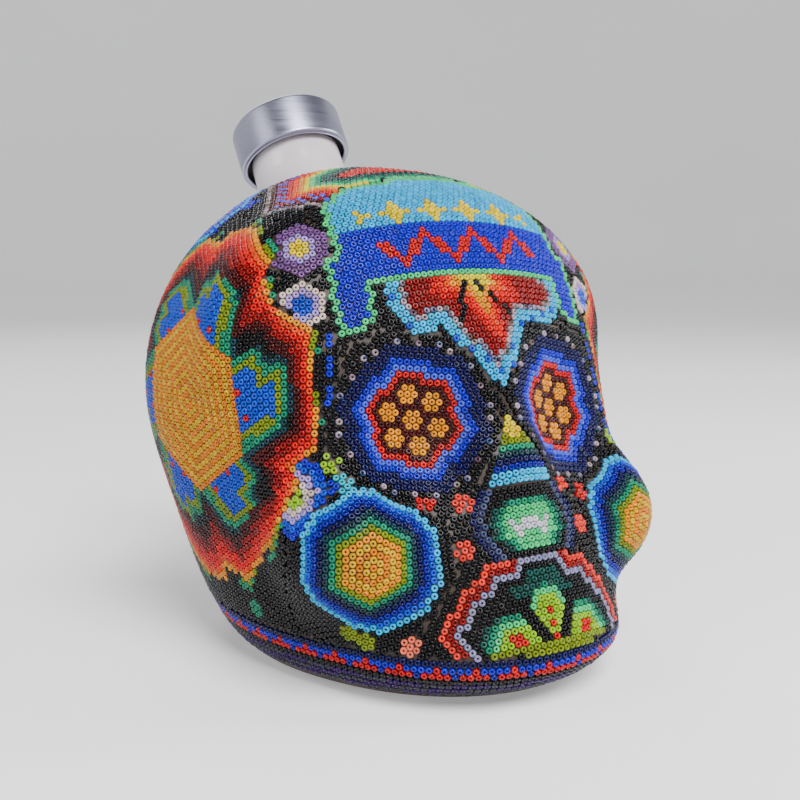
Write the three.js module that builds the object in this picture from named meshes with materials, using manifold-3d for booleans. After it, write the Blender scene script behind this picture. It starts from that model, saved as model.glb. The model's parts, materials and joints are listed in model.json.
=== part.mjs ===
// Beaded skull bottle: a hollow ceramic skull with a slanted neck, covered with glass seed beads
// pressed into beeswax, and closed with a metal-capped cork stopper.
// Millimetres, +Z up, the face towards -Y, the origin on the table under the head.
import * as THREE from "three";
import { mergeVertices } from "three/addons/utils/BufferGeometryUtils.js";
import Module from "manifold-3d";

const wasm = await Module();
wasm.setup();

// ---- Driving sizes, mm ----
const SKULL_WIDTH = 134; // across the temples
const SKULL_DEPTH = 156; // chin to the back of the head
const SKULL_HEIGHT = 137.5; // table to the crown

const BEAD_LAYER = 1.5; // height of a seed bead lying on its side, hole outwards
const WAX_LAYER = 0.8;
const WALL = 5; // ceramic wall
const GAP = 0.3; // clearance between neighbouring pieces

const NECK_TILT = 32; // degrees back from vertical
const NECK_RADIUS = 14.5;
const NECK_FLARE = 2.5; // how much wider the neck is where it leaves the head
const NECK_VISIBLE = 15.5; // from the cap's rim down to the beads, along the neck
const BORE_RADIUS = 9.8;
const THROAT_FLARE = 3.7; // how much wider the bore is where it meets the hollow

const CAP_OVERHANG = 3.5; // how far the cap stands out from the neck, all round
const CAP_HEIGHT = 14.8;
const CAP_SHEET = 0.9;
const CAP_RECESS = 3; // how far the neck's mouth stands up inside the cap
const CORK_LENGTH = 18;

const BAND_HEIGHT = 15; // top of the bead band round the base
const MOTIF_DEPTH = 26; // how far a motif's cutter reaches below and above the surface

// ---- The sculpted form: soft masses, each a centre and three radii, at the sizes below ----
const DRAWN = { width: 134, depth: 156, height: 137.5 };
const CRANIUM = { at: [0, 15, 74], r: [65.5, 60.5, 63.5] };
const JAW = { at: [0, -10, 23], r: [53.5, 64, 42.5] };
const FACE = { at: [0, -30, 55], r: [50, 22, 36] };
const BROW = { at: [0, -15, 92], r: [62, 22.5, 36] };
const CHEEK = { at: [41, -45.5, 39.5], r: [14.5, 17.5, 15.5] };
const CHIN = { at: [0, -49, 13], r: [36, 30.5, 11] };
const SOCKET = { at: [28, -72.5, 72], r: [19, 25.5, 20] };
const BRIDGE = { at: [0, -43, 76], r: [8, 7.5, 16] };
const NOSE = { at: [0, -52.5, 56], r: [11, 11, 11] };

const SCALE = new THREE.Vector3(
  SKULL_WIDTH / DRAWN.width,
  SKULL_DEPTH / DRAWN.depth,
  SKULL_HEIGHT / DRAWN.height,
);
const HEART = new THREE.Vector3(0, 0, 62 * SCALE.z); // every surface is seen from this point
const REACH = 1.2 * Math.max(SKULL_WIDTH, SKULL_DEPTH, SKULL_HEIGHT);

// Depths of the layers under the beads' outer surface.
const WAX_TOP = BEAD_LAYER + GAP;
const WAX_BACK = WAX_TOP + WAX_LAYER;
const CERAMIC = WAX_BACK + GAP;

// ---- The form as a signed distance, smooth where two masses meet ----
function mass({ at, r }, p) {
  const x = p.x - at[0] * SCALE.x;
  const y = p.y - at[1] * SCALE.y;
  const z = p.z - at[2] * SCALE.z;
  const [rx, ry, rz] = [r[0] * SCALE.x, r[1] * SCALE.y, r[2] * SCALE.z];
  const near = Math.hypot(x / rx, y / ry, z / rz);
  const slope = Math.hypot(x / (rx * rx), y / (ry * ry), z / (rz * rz));
  return slope > 1e-9 ? (near * (near - 1)) / slope : -Math.min(rx, ry, rz);
}

function blend(a, b, soft) {
  const h = Math.max(soft - Math.abs(a - b), 0) / soft;
  return Math.min(a, b) - h * h * soft * 0.25;
}

function hollow(a, b, soft) {
  return -blend(-a, b, soft);
}

function head(point) {
  const p = point.clone();
  p.x = Math.abs(p.x);
  let d = mass(CRANIUM, p);
  d = blend(d, mass(JAW, p), 30);
  d = blend(d, mass(FACE, p), 26);
  d = blend(d, mass(BROW, p), 20);
  d = blend(d, mass(CHEEK, p), 12);
  d = blend(d, mass(CHIN, p), 12);
  d = hollow(d, mass(SOCKET, p), 12);
  d = blend(d, mass(BRIDGE, p), 8);
  return blend(d, mass(NOSE, p), 8);
}

// The head with its flat underside; the edge round it is softened.
const skull = (p) => hollow(head(p), p.z, 6);

// ---- Sampling the form from its heart ----
// Azimuth is measured from the face, positive to the right of someone who looks at it.
function direction(azimuth, elevation) {
  const level = Math.cos(elevation);
  return new THREE.Vector3(
    level * Math.sin(azimuth),
    -level * Math.cos(azimuth),
    Math.sin(elevation),
  );
}

// A way drawn on the form at its drawn sizes, as it runs once the form is stretched.
function drawnWay(azimuth, elevation) {
  const rad = THREE.MathUtils.degToRad;
  return direction(rad(azimuth), rad(elevation)).multiply(SCALE).normalize();
}

function along(towards, depth, form = skull) {
  let inside = 1;
  let outside = REACH;
  for (let step = 0; step < 26; step++) {
    const middle = (inside + outside) / 2;
    const p = HEART.clone().addScaledVector(towards, middle);
    if (form(p) < -depth) inside = middle;
    else outside = middle;
  }
  return HEART.clone().addScaledVector(towards, inside);
}

function normalAt(p) {
  const e = 0.5;
  const rise = (x, y, z) => skull(p.clone().add(new THREE.Vector3(x, y, z)));
  return new THREE.Vector3(
    rise(e, 0, 0) - rise(-e, 0, 0),
    rise(0, e, 0) - rise(0, -e, 0),
    rise(0, 0, e) - rise(0, 0, -e),
  ).normalize();
}

// ---- Solids ----
function solid(geometry) {
  const bare = geometry.clone();
  bare.deleteAttribute("normal");
  bare.deleteAttribute("uv");
  const merged = mergeVertices(bare, 1e-4);
  return new wasm.Manifold(
    new wasm.Mesh({
      numProp: 3,
      vertProperties: merged.attributes.position.array,
      triVerts: new Uint32Array(merged.index.array),
    }),
  );
}

// A closed skin at a depth under the beads' surface: a sphere pulled onto the form. Its columns
// crowd towards the face and its rows towards the height of the features.
function skin(depth, columns = 32, rows = 20) {
  const sphere = new THREE.SphereGeometry(1, columns, rows);
  const { position, uv } = sphere.attributes;
  for (let i = 0; i < position.count; i++) {
    const turn = 2 * Math.PI * (uv.getX(i) - 0.25);
    const fall = Math.PI * (1 - uv.getY(i));
    const azimuth = turn - 0.45 * Math.sin(turn);
    const polar = fall + 0.2 * Math.sin(2 * fall);
    const p = along(direction(azimuth, Math.PI / 2 - polar), depth);
    position.setXYZ(i, p.x, p.y, p.z);
  }
  return solid(sphere);
}

function block(width, depth, height, centre) {
  return solid(new THREE.BoxGeometry(width, depth, height).translate(...centre));
}

function above(z) {
  return block(4 * REACH, 4 * REACH, 2 * REACH, [0, 0, z + REACH]);
}

// ---- The neck's own frame: its origin on the cap's rim plane, +Z up the neck ----
const tilt = THREE.MathUtils.degToRad(NECK_TILT);
const neckAxis = new THREE.Vector3(0, Math.sin(tilt), Math.cos(tilt));
const neckRoot = along(drawnWay(180, 54.1), 0);
const rimPoint = neckRoot.clone().addScaledVector(neckAxis, NECK_VISIBLE);
const neckFrame = new THREE.Matrix4()
  .makeRotationX(-tilt)
  .setPosition(rimPoint);

// A turned solid whose profile is a list of [radius, height] from the bottom to the top.
function turned(profile, sides = 32) {
  const points = profile.map(([r, h]) => new THREE.Vector2(r, h));
  return solid(new THREE.LatheGeometry(points, sides).rotateX(Math.PI / 2));
}

function onNeck(shape) {
  return shape.transform(neckFrame.elements);
}

const MOUTH = CAP_RECESS; // height of the neck's mouth above the cap's rim plane
const FLARE_RADIUS = NECK_RADIUS + NECK_FLARE;
const COLLAR_HOLE = FLARE_RADIUS + GAP;
const CAP_RADIUS = NECK_RADIUS + CAP_OVERHANG;

function neckSolid() {
  const foot = -NECK_VISIBLE - CERAMIC - WALL;
  return turned([
    [0, foot],
    [FLARE_RADIUS, foot],
    [FLARE_RADIUS, -NECK_VISIBLE - 3],
    [NECK_RADIUS + 0.7 * NECK_FLARE, -NECK_VISIBLE - 0.5],
    [NECK_RADIUS + 0.35 * NECK_FLARE, 2.5 - NECK_VISIBLE],
    [NECK_RADIUS + 0.1 * NECK_FLARE, 6 - NECK_VISIBLE],
    [NECK_RADIUS, 9 - NECK_VISIBLE],
    [NECK_RADIUS, MOUTH - 1],
    [NECK_RADIUS - 1, MOUTH],
    [0, MOUTH],
  ]);
}

// The bore is straight where the cork sits and widens towards the hollow of the head.
function boreSolid() {
  const throat = -NECK_VISIBLE - CERAMIC - WALL;
  return turned([
    [0, throat - WALL],
    [BORE_RADIUS + THROAT_FLARE, throat - WALL],
    [BORE_RADIUS + THROAT_FLARE, throat],
    [BORE_RADIUS + 0.25 * THROAT_FLARE, -NECK_VISIBLE],
    [BORE_RADIUS, 6.5 - NECK_VISIBLE],
    [BORE_RADIUS, MOUTH + 5],
    [0, MOUTH + 5],
  ]);
}

function neckHole() {
  const low = -NECK_VISIBLE - 30;
  return onNeck(turned([[0, low], [COLLAR_HOLE, low], [COLLAR_HOLE, 0], [0, 0]], 40));
}

// The foot follows the base's own outline, a little way in from the edge.
function footSolid() {
  const inset = 13;
  const outline = [];
  for (let k = 0; k < 36; k++) {
    const angle = (k / 36) * 2 * Math.PI;
    let [inside, outside] = [1, REACH];
    for (let step = 0; step < 24; step++) {
      const r = (inside + outside) / 2;
      const p = new THREE.Vector3(r * Math.cos(angle), r * Math.sin(angle), CERAMIC);
      if (head(p) < -inset) inside = r;
      else outside = r;
    }
    outline.push(new THREE.Vector2(inside * Math.cos(angle), inside * Math.sin(angle)));
  }
  const plate = { depth: CERAMIC + WALL / 2, bevelEnabled: false };
  return solid(new THREE.ExtrudeGeometry(new THREE.Shape(outline), plate));
}

function bottleSolid() {
  const cavity = skin(CERAMIC + WALL, 20, 12);
  return skin(CERAMIC)
    .add(footSolid())
    .add(onNeck(neckSolid()))
    .subtract(cavity)
    .subtract(onNeck(boreSolid()));
}

function layer(top, back) {
  return skin(top)
    .subtract(skin(back))
    .subtract(neckHole())
    .intersect(above(back + GAP));
}

// ---- Cutting the bead layer into its motifs ----
// Moves every side of an anticlockwise outline outwards by "extra".
function offset(outline, extra) {
  const corner = (k) => new THREE.Vector2(...outline.at(k % outline.length));
  const facing = (a, b) => new THREE.Vector2(b.y - a.y, a.x - b.x).normalize();
  return outline.map((_, k) => {
    const before = facing(corner(k - 1), corner(k));
    const after = facing(corner(k), corner(k + 1));
    const shift = before.clone().add(after).multiplyScalar(extra / (1 + before.dot(after)));
    return corner(k).add(shift);
  });
}

// A motif's cutter is a prism that stands on the surface. Its outline is drawn in the
// surface's own plane, [right, up], stretches with the form, and grows by "extra" on every side.
function prism(azimuth, elevation, outline) {
  const centre = along(drawnWay(azimuth, elevation), 0);
  const normal = normalAt(centre);
  const right = new THREE.Vector3(0, 0, 1).cross(normal).normalize();
  const up = normal.clone().cross(right);
  const base = centre.clone().addScaledVector(normal, -MOTIF_DEPTH);
  const place = new THREE.Matrix4().makeBasis(right, up, normal).setPosition(base);
  const stretch = (axis) => axis.clone().multiply(SCALE).length();
  const sized = outline.map(([x, y]) => [x * stretch(right), y * stretch(up)]);
  return (extra) => {
    const shape = new THREE.Shape(offset(sized, extra));
    const bar = new THREE.ExtrudeGeometry(shape, { depth: 2 * MOTIF_DEPTH, bevelEnabled: false });
    return solid(bar.applyMatrix4(place));
  };
}

function ring(count, radius, inner = radius) {
  return Array.from({ length: count }, (_, k) => {
    const angle = ((k + 0.5) / count) * 2 * Math.PI;
    const r = k % 2 ? inner : radius;
    return [r * Math.cos(angle), r * Math.sin(angle)];
  });
}

function sides(points) {
  const mirrored = points.map(([x, y]) => [-x, y]).reverse();
  return [...points, ...mirrored.filter(([x]) => x !== 0)];
}

// A vertical wedge of the head, between two azimuths.
function wedge(from, to) {
  const [first, middle, last] = [from, (from + to) / 2, to].map((azimuth) => {
    const way = drawnWay(azimuth, 0);
    return new THREE.Vector2(way.x, way.y);
  });
  return (extra) => {
    const half = first.angleTo(last) / 2;
    const apex = first.clone().add(last).normalize();
    if (apex.dot(middle) < 0) apex.negate();
    apex.multiplyScalar(-extra / Math.sin(half));
    const rim = [first, middle, last].map((way) => way.clone().multiplyScalar(2 * REACH).add(apex));
    const bar = new THREE.ExtrudeGeometry(new THREE.Shape([apex, ...rim]), {
      depth: 3 * REACH,
      bevelEnabled: false,
    });
    return solid(bar.translate(0, 0, -REACH));
  };
}

function below(z) {
  return (extra) => block(4 * REACH, 4 * REACH, 2 * REACH, [0, 0, z + extra - REACH]);
}

function collarCutter(extra) {
  const low = -NECK_VISIBLE - 30;
  const r = COLLAR_HOLE + 7.5 + extra;
  return onNeck(turned([[0, low], [r, low], [r, 0], [0, 0]]));
}

const EYE = ring(12, 16);
const CHEEK_DISC = ring(12, 17);
const MANDALA = ring(12, 43, 35);
const MEDALLION = ring(12, 31, 27);
const NOSE_SHAPE = sides([[8, -9], [10.5, -6], [3, 11]]);
const LIP_PANEL = sides([[14, -7.5], [14, 6.5]]);
const MOUTH_FAN = sides([[29, -15], [30, -3], [25, 6], [14, 12], [0, 14]]);
const FLOWER = sides([[0, -20], [9, -8], [18, -6], [26, 1], [24, 8]]);
const RIBBON = sides([[30, -17.5], [33, -26], [42, -26], [40, -9], [35, 1], [27.5, 17.5]]);
const CROWN_PATCH = sides([[27, -19], [24, 14], [10, 22]]);

// Each motif in the order in which it is laid: the ground closes in round the earlier ones.
const LAID = [
  ["beads_base_band", 0x1c2fae, below(BAND_HEIGHT * SCALE.z)],
  ["beads_left_eye", 0x8e2f3a, prism(25.6, 9, EYE)],
  ["beads_right_eye", 0x8e2f3a, prism(-25.6, 9, EYE)],
  ["beads_left_cheek", 0x3f6fc4, prism(35.3, -16.6, CHEEK_DISC)],
  ["beads_right_cheek", 0x3f6fc4, prism(-35.3, -16.6, CHEEK_DISC)],
  ["beads_mouth_fan", 0xa63c4b, prism(0, -25, MOUTH_FAN)],
  ["beads_nose", 0x2a63a8, prism(0, 0.5, NOSE_SHAPE)],
  ["beads_lip_panel", 0x2f7c68, prism(0, -13.5, LIP_PANEL)],
  ["beads_ribbon", 0x2233c4, prism(0, 62.5, RIBBON)],
  ["beads_forehead_flower", 0xc42a34, prism(0, 37, FLOWER)],
  ["beads_neck_collar", 0xb0323c, collarCutter],
  ["beads_crown", 0x22756a, prism(0, 86, CROWN_PATCH)],
  ["beads_left_mandala", 0xd2641e, prism(88, 10, MANDALA)],
  ["beads_right_mandala", 0xd2641e, prism(-88, 10, MANDALA)],
  ["beads_face_ground", 0x0d0f14, wedge(-50, 50)],
  ["beads_back_medallion", 0x7a3fa0, prism(180, 8, MEDALLION)],
];

// The ground at the sides and the back, each wedge parted at the height of the mandala's heart.
const GROUND = [
  ["beads_left_jaw", "beads_left_temple", 0x12141c, wedge(50, 128)],
  ["beads_right_jaw", "beads_right_temple", 0x12141c, wedge(-128, -50)],
  ["beads_nape", "beads_back_crown", 0x10121a, wedge(128, 232)],
];

const largest = (shape) =>
  shape.decompose().reduce((best, part) => (part.volume() > best.volume() ? part : best));

function beadFields() {
  let rest = layer(0, BEAD_LAYER);
  const fields = [];
  const take = (name, colour, cutter) => {
    const field = rest.intersect(cutter(-GAP / 2));
    rest = rest.subtract(cutter(GAP / 2));
    fields.push({ name, colour, shape: largest(field) });
  };
  for (const [name, colour, cutter] of LAID) take(name, colour, cutter);
  for (const [low, high, colour, cutter] of GROUND) {
    const lower = (extra) => cutter(extra).intersect(below(HEART.z)(extra));
    take(low, colour, lower);
    take(high, colour, cutter);
  }
  return fields;
}

// ---- The stopper, in the neck's frame ----
function capSolid() {
  const [r, top, t] = [CAP_RADIUS, CAP_HEIGHT, CAP_SHEET];
  return turned(
    [
      [0, top - t],
      [r - 2 * t, top - t],
      [r - t, top - 2 * t],
      [r - t, 2.1],
      [r - 2.1 * t, 1.4],
      [r - 2.1 * t, 0.5],
      [r - 1.3, 0],
      [r - 0.4, 0.35],
      [r, 1.2],
      [r, top - 1.8],
      [r - 0.5, top - 0.6],
      [r - 1.8, top],
      [0, top],
    ],
    32,
  );
}

function coreSolid() {
  const r = CAP_RADIUS - CAP_SHEET - GAP;
  const low = MOUTH + GAP;
  const top = CAP_HEIGHT - CAP_SHEET - GAP;
  return turned([[0, low], [r, low], [r, top - 1.2], [r - 1.2, top], [0, top]]);
}

function corkSolid() {
  const r = BORE_RADIUS - GAP;
  const low = MOUTH - CORK_LENGTH;
  return turned([[0, low], [r - 1.2, low], [r, low + 1.2], [r, MOUTH], [0, MOUTH]]);
}

// ---- The scene graph ----
function meshOf(name, shape, look) {
  const made = shape.getMesh();
  const geometry = new THREE.BufferGeometry();
  geometry.setAttribute("position", new THREE.BufferAttribute(made.vertProperties, 3));
  geometry.setIndex(new THREE.BufferAttribute(made.triVerts, 1));
  geometry.computeVertexNormals();
  const mesh = new THREE.Mesh(geometry, new THREE.MeshStandardMaterial(look));
  mesh.name = name;
  return mesh;
}

const figure = new THREE.Group();

const ceramic = { color: 0xece6e6, roughness: 0.18, metalness: 0 };
const wax = { color: 0x8a5a22, roughness: 0.6, metalness: 0 };
figure.add(meshOf("bottle", bottleSolid(), ceramic));
figure.add(meshOf("wax_skin", layer(WAX_TOP, WAX_BACK), wax));
for (const { name, colour, shape } of beadFields()) {
  figure.add(meshOf(name, shape, { color: colour, roughness: 0.12, metalness: 0 }));
}

const stopper = new THREE.Group();
stopper.position.copy(rimPoint);
stopper.rotation.x = -tilt;
const metal = { color: 0xc9ccd8, roughness: 0.3, metalness: 1 };
const insert = { color: 0x2b2926, roughness: 0.7, metalness: 0 };
const cork = { color: 0xc49a6c, roughness: 0.9, metalness: 0 };
stopper.add(meshOf("stopper_cap", capSolid(), metal));
stopper.add(meshOf("stopper_core", coreSolid(), insert));
stopper.add(meshOf("stopper_cork", corkSolid(), cork));
figure.add(stopper);

export default figure;
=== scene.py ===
"""Looks of the beaded skull bottle: every seed bead, the beeswax, the ceramic and the stopper."""

import heapq
import json
import math

import bmesh
import bpy
import numpy as np
from mathutils import Euler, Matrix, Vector
from mathutils.bvhtree import BVHTree

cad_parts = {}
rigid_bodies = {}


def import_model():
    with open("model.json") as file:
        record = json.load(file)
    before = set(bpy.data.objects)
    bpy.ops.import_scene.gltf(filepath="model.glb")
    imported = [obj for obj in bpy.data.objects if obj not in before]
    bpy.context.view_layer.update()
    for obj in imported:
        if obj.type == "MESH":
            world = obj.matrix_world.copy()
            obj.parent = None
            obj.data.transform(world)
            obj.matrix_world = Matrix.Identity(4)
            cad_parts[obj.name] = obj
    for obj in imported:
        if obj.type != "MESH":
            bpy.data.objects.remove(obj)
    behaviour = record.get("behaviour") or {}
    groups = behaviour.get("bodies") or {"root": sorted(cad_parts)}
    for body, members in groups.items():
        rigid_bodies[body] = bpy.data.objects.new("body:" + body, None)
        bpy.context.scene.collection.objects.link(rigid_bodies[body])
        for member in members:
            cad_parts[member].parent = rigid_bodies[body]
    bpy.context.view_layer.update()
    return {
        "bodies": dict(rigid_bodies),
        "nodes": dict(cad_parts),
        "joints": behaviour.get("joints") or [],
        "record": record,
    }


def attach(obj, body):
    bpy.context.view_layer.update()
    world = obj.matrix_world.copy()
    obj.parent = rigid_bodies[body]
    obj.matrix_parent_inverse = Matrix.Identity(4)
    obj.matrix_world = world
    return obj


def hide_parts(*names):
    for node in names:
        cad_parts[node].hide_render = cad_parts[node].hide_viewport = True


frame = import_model()
rng = np.random.default_rng(7)

MM = 0.001

# ==== The form, in millimetres: the same masses as the CAD model ====
HEART = np.array([0.0, 0.0, 62.0])
BEAD_LAYER = 1.5
HALVINGS = 24  # of the range, to find where a line meets a surface
MASSES = {
    "cranium": ((0, 15, 74), (65.5, 60.5, 63.5)),
    "jaw": ((0, -10, 23), (53.5, 64, 42.5)),
    "face": ((0, -30, 55), (50, 22, 36)),
    "brow": ((0, -15, 92), (62, 22.5, 36)),
    "cheek": ((41, -45.5, 39.5), (14.5, 17.5, 15.5)),
    "chin": ((0, -49, 13), (36, 30.5, 11)),
    "socket": ((28, -72.5, 72), (19, 25.5, 20)),
    "bridge": ((0, -43, 76), (8, 7.5, 16)),
    "nose": ((0, -52.5, 56), (11, 11, 11)),
}


def mass(p, name):
    at, r = (np.array(v, float) for v in MASSES[name])
    q = (p - at) / r
    near = np.sqrt((q * q).sum(-1))
    slope = np.sqrt(((q / r) ** 2).sum(-1))
    return near * (near - 1) / np.maximum(slope, 1e-9)


def blend(a, b, soft):
    h = np.maximum(soft - np.abs(a - b), 0) / soft
    return np.minimum(a, b) - h * h * soft * 0.25


def hollow(a, b, soft):
    return -blend(-a, b, soft)


def head(p):
    p = p * np.where(p[..., :1] < 0, [-1.0, 1.0, 1.0], 1.0)
    d = mass(p, "cranium")
    for name, soft in (("jaw", 30), ("face", 26), ("brow", 20), ("cheek", 12), ("chin", 12)):
        d = blend(d, mass(p, name), soft)
    d = hollow(d, mass(p, "socket"), 12)
    d = blend(d, mass(p, "bridge"), 8)
    return blend(d, mass(p, "nose"), 8)


def skull(p):
    return hollow(head(p), p[..., 2], 6)


def normals(p, form=skull):
    e = 0.25
    steps = np.eye(3) * e
    n = np.stack([form(p + s) - form(p - s) for s in steps], -1)
    return n / np.linalg.norm(n, axis=-1, keepdims=True)


def rays(azimuth, elevation):
    azimuth, elevation = np.broadcast_arrays(azimuth, elevation)
    level = np.cos(elevation)
    return np.stack([level * np.sin(azimuth), -level * np.cos(azimuth), np.sin(elevation)], -1)


def reach(towards, depth, form=skull, start=HEART, far=150.0):
    """How far each ray from the start runs until it is this deep under the form's surface."""
    low = np.full(towards.shape[:-1], 1.0)
    high = np.full(towards.shape[:-1], far)
    for _ in range(HALVINGS):
        middle = (low + high) / 2
        within = form(start + towards * middle[..., None]) < -depth
        low = np.where(within, middle, low)
        high = np.where(within, high, middle)
    return low


# ==== The neck's own frame ====
TILT = math.radians(32)
NECK_AXIS = np.array([0.0, math.sin(TILT), math.cos(TILT)])
NECK_SIDE = np.array([1.0, 0.0, 0.0])
NECK_UP = np.cross(NECK_AXIS, NECK_SIDE)
NECK_VISIBLE = 15.5
_root_ray = rays(np.array(math.pi), np.array(math.radians(54.1)))
NECK_ROOT = HEART + _root_ray * float(reach(_root_ray, 0.0))
RIM = NECK_ROOT + NECK_AXIS * NECK_VISIBLE
COLLAR_HOLE = 17.3


def from_neck(p):
    """Distance from the neck's axis and the angle round it, 0 towards the left, 90 to the front."""
    q = np.asarray(p) - NECK_ROOT
    x, y = q @ NECK_SIDE, q @ NECK_UP
    return np.hypot(x, y), np.degrees(np.arctan2(y, x))


def ring_round_neck(turn, radius, depth, halvings=HALVINGS):
    """Points this deep under the skull's surface, at a radius from the neck's axis."""
    side = np.outer(np.cos(turn), NECK_SIDE) + np.outer(np.sin(turn), NECK_UP)
    low, high = np.full(len(turn), -30.0), np.full(len(turn), 12.0)
    for _ in range(halvings):
        middle = (low + high) / 2
        within = skull(NECK_ROOT + side * radius + NECK_AXIS * middle[:, None]) < -depth
        low, high = np.where(within, middle, low), np.where(within, high, middle)
    return NECK_ROOT + side * radius + NECK_AXIS * low[:, None]


# ==== The layout of the beads ====
PITCH = 1.88  # from one bead to the next along a row
ROW = PITCH * math.sqrt(0.75)
CLOSEST = 0.86 * PITCH
BESIDE = 1.35 * PITCH  # the six neighbours of a bead lie within this
FIRST_FIT, LAST_FIT = 0.87 * PITCH, 0.79 * PITCH  # room that a gap must have, before and after easing
LOWEST, HALF_BEAD = 2.2, 0.95
AZ_CELLS, EL_CELLS = 360, 180

_az = (np.arange(AZ_CELLS + 1) / AZ_CELLS - 0.5) * 2 * math.pi
_el = (np.arange(EL_CELLS + 1) / EL_CELLS - 0.5) * math.pi
_grid = rays(_az[None, :], _el[:, None])
_far = reach(_grid, BEAD_LAYER / 2)
_facing = normals(HEART + _grid * _far[..., None])
SURFACE = np.concatenate([_far[..., None], _facing], -1).tolist()


def settle(p):
    """Where the ray through p meets the surface of the beads' middles, and the normal there."""
    x, y, z = p[0], p[1], p[2] - HEART[2]
    r = math.sqrt(x * x + y * y + z * z)
    a = (math.atan2(x, -y) / (2 * math.pi) + 0.5) * AZ_CELLS
    e = (math.asin(max(-1.0, min(1.0, z / r))) / math.pi + 0.5) * EL_CELLS
    i, j = min(int(a), AZ_CELLS - 1), min(int(e), EL_CELLS - 1)
    u, v = a - i, e - j
    low, high = SURFACE[j], SURFACE[j + 1]
    w = ((1 - u) * (1 - v), u * (1 - v), (1 - u) * v, u * v)
    c = (low[i], low[i + 1], high[i], high[i + 1])
    far, nx, ny, nz = (sum(w[k] * c[k][m] for k in range(4)) for m in range(4))
    s = math.sqrt(nx * nx + ny * ny + nz * nz)
    f = far / r
    return (x * f, y * f, z * f + HEART[2]), (nx / s, ny / s, nz / s)


def add(a, b, f=1.0):
    return (a[0] + b[0] * f, a[1] + b[1] * f, a[2] + b[2] * f)


def dot(a, b):
    return a[0] * b[0] + a[1] * b[1] + a[2] * b[2]


def cross(a, b):
    return (a[1] * b[2] - a[2] * b[1], a[2] * b[0] - a[0] * b[2], a[0] * b[1] - a[1] * b[0])


def unit(a):
    s = math.sqrt(dot(a, a)) or 1.0
    return (a[0] / s, a[1] / s, a[2] / s)


def flat(a, n):
    return unit(add(a, n, -dot(a, n)))


def turned(a, n, degrees):
    t = math.radians(degrees)
    return add(tuple(c * math.cos(t) for c in a), cross(n, a), math.sin(t))


STEPS = ((1, 0), (0, 1), (-1, 1), (-1, 0), (0, -1), (1, -1))  # the six ways on the lattice


def rings(i, j):
    return max(abs(i), abs(j), abs(i + j))


class Layout:
    """All beads laid so far, each on the lattice of the motif that it grew from."""

    def __init__(self):
        self.at, self.normal, self.along, self.colour = [], [], [], []
        self.grid = {}
        self.taken = {}

    def key(self, p):
        return tuple(int(math.floor(c / PITCH)) for c in p)

    def around(self, p, within):
        found = []
        kx, ky, kz = self.key(p)
        span = 1 if within <= PITCH else 2
        steps = range(-span, span + 1)
        for a in steps:
            for b in steps:
                for c in steps:
                    for k in self.grid.get((kx + a, ky + b, kz + c), ()):
                        q = self.at[k]
                        d = math.dist(p, q)
                        if d < within:
                            found.append((d, k))
        return found

    def put(self, p, n, along, motif, cell, colour):
        k = len(self.at)
        self.at.append(p)
        self.normal.append(n)
        self.along.append(along)
        self.colour.append(colour)
        self.grid.setdefault(self.key(p), []).append(k)
        self.taken[motif, cell] = k

    def seed(self, motif, p, heading, colour):
        p, n = settle(p)
        self.put(p, n, flat(heading, n), motif, (0, 0), colour)

    def grow(self, motif, cell, colour):
        """Lays a bead on a cell of the motif's lattice, if it has room there."""
        i, j = cell
        beside = []
        for k, (a, b) in enumerate(STEPS):
            other = self.taken.get((motif, (i - a, j - b)))
            if other is not None:
                beside.append((k, other))
        if not beside:
            return False
        guess = (0.0, 0.0, 0.0)
        for k, other in beside:
            way = turned(self.along[other], self.normal[other], 60 * k)
            guess = add(guess, add(self.at[other], way, PITCH), 1 / len(beside))
        p, n = settle(guess)
        own = {other for _, other in beside}
        near = self.around(p, 1.6 * PITCH)
        for _ in range(3):
            shift = (0.0, 0.0, 0.0)
            for _, k in near:
                d = math.dist(p, self.at[k])
                if d < PITCH or (k in own and d < 1.3 * PITCH):
                    away = unit(add(p, self.at[k], -1))
                    shift = add(shift, away, 0.45 * (PITCH - d))
            p, n = settle(add(p, shift))
        if any(math.dist(p, self.at[k]) < CLOSEST for _, k in near):
            return False
        if not free(p):
            return False
        along = (0.0, 0.0, 0.0)
        for k, other in beside:
            way = flat(add(p, self.at[other], -1), n)
            along = add(along, turned(way, n, -60 * k))
        self.put(p, n, flat(along, n), motif, cell, colour)
        return True


def free(p):
    """False where the neck comes through, and under the lowest row."""
    if p[2] < LOWEST:
        return False
    if p[1] > 20 and p[2] > 90:
        return float(from_neck(p)[0]) > COLLAR_HOLE + HALF_BEAD
    return True


def plane(i, j):
    """A cell's place on the flat lattice, in millimetres."""
    return PITCH * (i + j / 2), ROW * j


def inside(outline, x, y):
    hit = False
    for k in range(len(outline)):
        (ax, ay), (bx, by) = outline[k - 1], outline[k]
        if (ay > y) != (by > y) and x < ax + (bx - ax) * (y - ay) / (by - ay):
            hit = not hit
    return hit


def depth_in(outline, x, y):
    """How far inside an outline a point lies, or minus how far outside."""
    best = 1e9
    for k in range(len(outline)):
        (ax, ay), (bx, by) = outline[k - 1], outline[k]
        ex, ey = bx - ax, by - ay
        t = max(0.0, min(1.0, ((x - ax) * ex + (y - ay) * ey) / (ex * ex + ey * ey)))
        best = min(best, math.hypot(x - ax - t * ex, y - ay - t * ey))
    return best if inside(outline, x, y) else -best


def both_sides(points):
    return points + [(-x, y) for x, y in reversed(points) if x != 0]


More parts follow.
